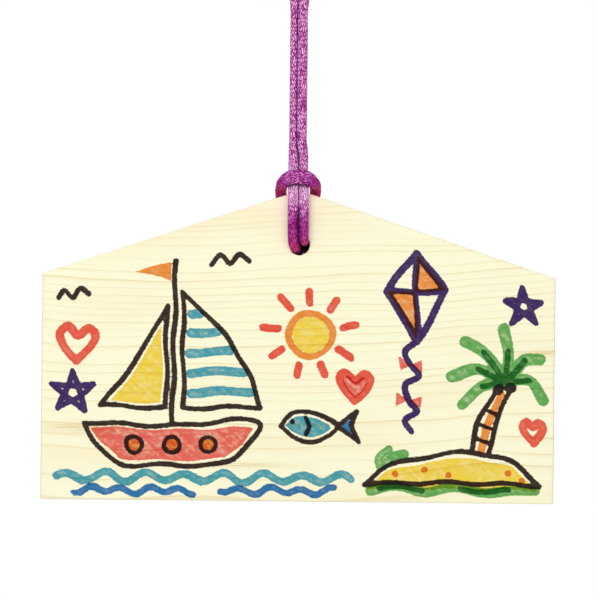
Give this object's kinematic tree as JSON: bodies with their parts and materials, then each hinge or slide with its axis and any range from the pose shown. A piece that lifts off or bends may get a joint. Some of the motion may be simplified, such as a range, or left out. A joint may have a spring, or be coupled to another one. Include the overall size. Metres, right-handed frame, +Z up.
{
  "type": "ema plaque",
  "caption": "House-shaped wooden votive plaque hung on a doubled braided cord that is hitched through a hole under its peak.",
  "frame": {"origin": "the middle of the hanging eye, where the axis of the peg that the plaque hangs on passes through the cord's loop", "axes": "+Z up, +X to the viewer's right, -Y out of the front face towards the viewer; the board hangs upright below the origin"},
  "size_m": [0.15, 0.018, 0.208],
  "materials": {
    "wood": "planed, unfinished, with a marker drawing on the front face",
    "cord": "satin braid"
  },
  "bodies": {
    "hanger": {"cord_knot": "cord", "cord_tail_left": "cord", "cord_tail_right": "cord", "cord_eye_left": "cord", "cord_eye_right": "cord"},
    "upper_strands": {"cord_upper_left": "cord", "cord_upper_right": "cord"},
    "lower_strands": {"cord_lower_left": "cord", "cord_lower_right": "cord"},
    "neck": {"cord_neck_left": "cord", "cord_neck_right": "cord"},
    "plaque": {"board": "wood", "cord_hitch": "cord"}
  },
  "joints": [
    {"name": "side_swing", "type": "hinge", "parent": "hanger", "child": "upper_strands", "pos_m": [0, 0, 0], "axis": [0, 1, 0], "range_deg": [-60, 60], "deforming": ["cord_eye_left", "cord_eye_right"]},
    {"name": "front_swing", "type": "hinge", "parent": "upper_strands", "child": "lower_strands", "pos_m": [0, 0, -0.018], "axis": [1, 0, 0], "range_deg": [-60, 60], "deforming": ["cord_upper_left", "cord_upper_right"]},
    {"name": "twist", "type": "hinge", "parent": "lower_strands", "child": "neck", "pos_m": [0, 0, -0.055], "axis": [0, 0, 1], "range_deg": [-180, 180], "stiffness_Nm_per_rad": 0.00003, "deforming": ["cord_lower_left", "cord_lower_right"]},
    {"name": "board_tilt", "type": "hinge", "parent": "neck", "child": "plaque", "pos_m": [0, 0, -0.075], "axis": [1, 0, 0], "range_deg": [-35, 35], "deforming": ["cord_neck_left", "cord_neck_right"]}
  ]
}
